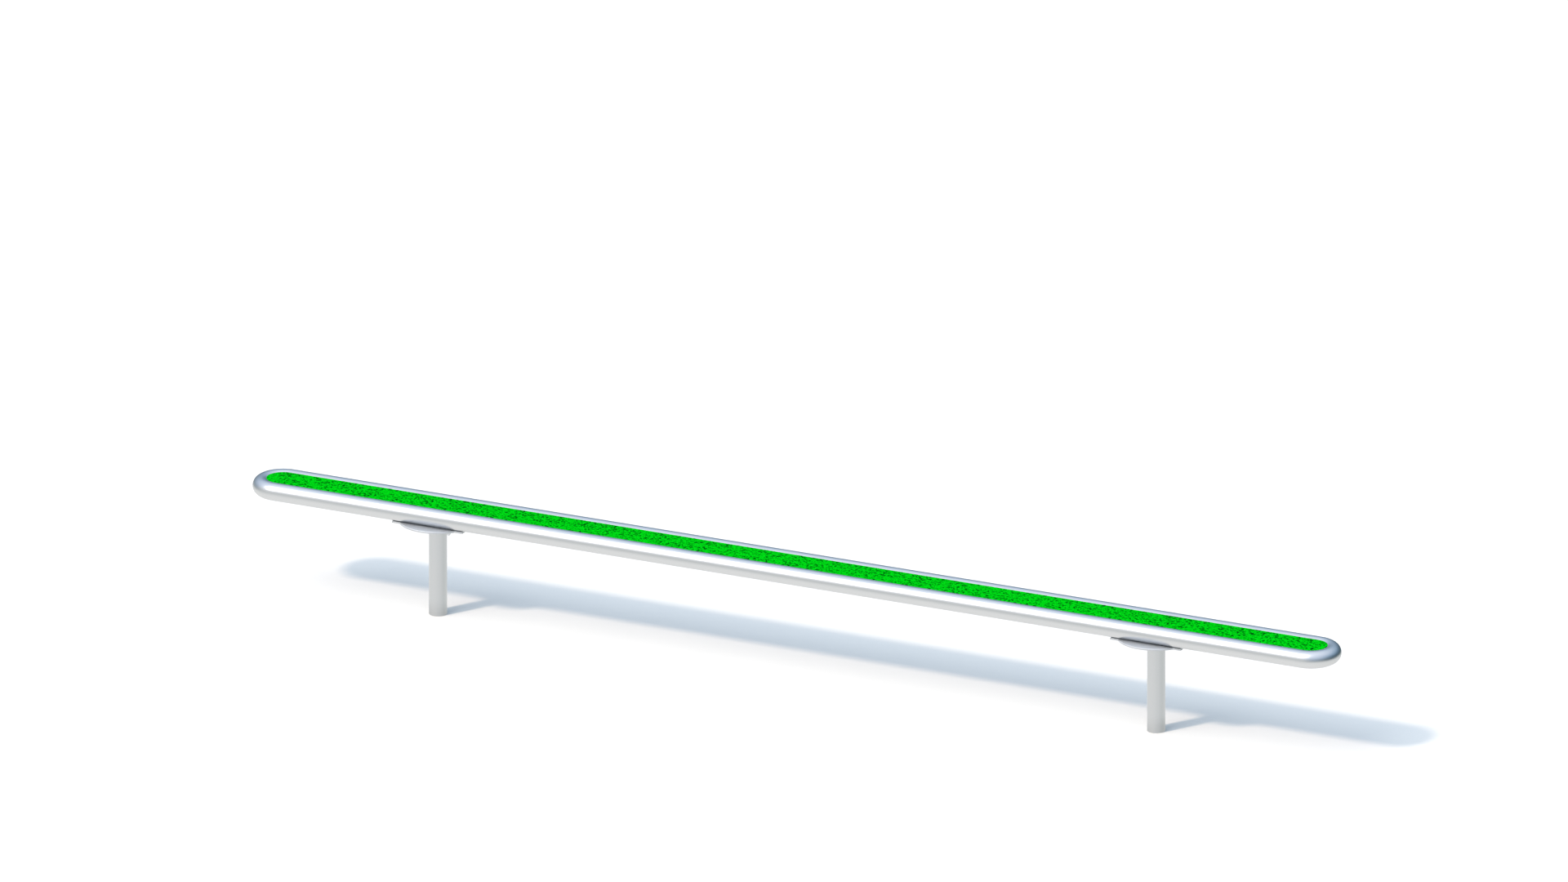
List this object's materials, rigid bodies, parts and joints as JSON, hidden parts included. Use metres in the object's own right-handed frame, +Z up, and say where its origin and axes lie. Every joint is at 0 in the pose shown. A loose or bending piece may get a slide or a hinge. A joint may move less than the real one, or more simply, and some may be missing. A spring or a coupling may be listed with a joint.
{
  "type": "backless bench",
  "caption": "Long slim backless street bench: a stadium-shaped ring of round steel tube with a green rubber granulate inlay, on round posts with flange plates.",
  "frame": {"origin": "on the ground under the middle of the seat", "axes": "+X along the bench, +Y from the front rail to the rear rail, +Z up"},
  "size_m": [4.6, 0.304, 0.456],
  "materials": {
    "galvanised_steel": "satin, smooth galvanised tube and plate",
    "zinc_fixings": "bright zinc plated fixings",
    "green_granulate": "matt coloured rubber granulate, bound and smoothed",
    "black_granulate": "matt black rubber granulate base"
  },
  "bodies": {
    "root": {"front_rail": "galvanised_steel", "rear_rail": "galvanised_steel", "left_end_bend": "galvanised_steel", "right_end_bend": "galvanised_steel", "sleeve_front_left": "galvanised_steel", "sleeve_front_right": "galvanised_steel", "sleeve_rear_left": "galvanised_steel", "sleeve_rear_right": "galvanised_steel", "deck_sheet_left": "galvanised_steel", "deck_sheet_middle": "galvanised_steel", "deck_sheet_right": "galvanised_steel", "cross_bar_1": "galvanised_steel", "cross_bar_2": "galvanised_steel", "cross_bar_3": "galvanised_steel", "cross_bar_4": "galvanised_steel", "cross_bar_5": "galvanised_steel", "cross_bar_6": "galvanised_steel", "cross_bar_7": "galvanised_steel", "rubber_base": "black_granulate", "rubber_top": "green_granulate", "flange_left": "galvanised_steel", "flange_right": "galvanised_steel", "post_left": "galvanised_steel", "post_right": "galvanised_steel", "foot_plug_left": "galvanised_steel", "foot_plug_right": "galvanised_steel", "bushes_left": "galvanised_steel", "bushes_right": "galvanised_steel", "studs_left": "zinc_fixings", "studs_right": "zinc_fixings", "washers_left": "zinc_fixings", "washers_right": "zinc_fixings", "cap_nuts_left": "zinc_fixings", "cap_nuts_right": "zinc_fixings"}
  },
  "joints": []
}
